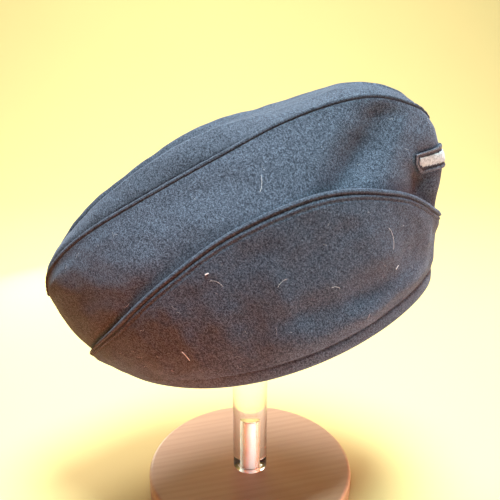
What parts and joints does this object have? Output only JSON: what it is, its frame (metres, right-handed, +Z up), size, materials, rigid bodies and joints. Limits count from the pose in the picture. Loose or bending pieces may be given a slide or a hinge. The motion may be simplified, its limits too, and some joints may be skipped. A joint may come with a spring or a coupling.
{
  "type": "side cap on a display stand",
  "caption": "Soft wool side cap with a creased top panel, a scalloped turn-up and a plain front patch, opened on the clear post of a round wooden display stand.",
  "frame": {"origin": "centre of the stand's underside, on the post's axis", "axes": "+Z up, +X towards the front of the cap, +Y towards the wearer's left"},
  "size_m": [0.2624, 0.1522, 0.299],
  "materials": {
    "wool": "napped wool cloth, blue-black",
    "patch_felt": "dark badge cloth",
    "woven_thread": "pale woven thread",
    "base_wood": "stained and lacquered",
    "clear_acrylic": "clear polished acrylic",
    "pale_dowel": "bare pale wood"
  },
  "bodies": {
    "root": {"top_gusset": "wool", "side_right": "wool", "side_left": "wool", "turn_up_right": "wool", "turn_up_left": "wool", "front_patch": "patch_felt", "patch_bar": "woven_thread", "stand_base": "base_wood", "stand_post": "clear_acrylic", "stand_peg": "pale_dowel"}
  },
  "joints": []
}
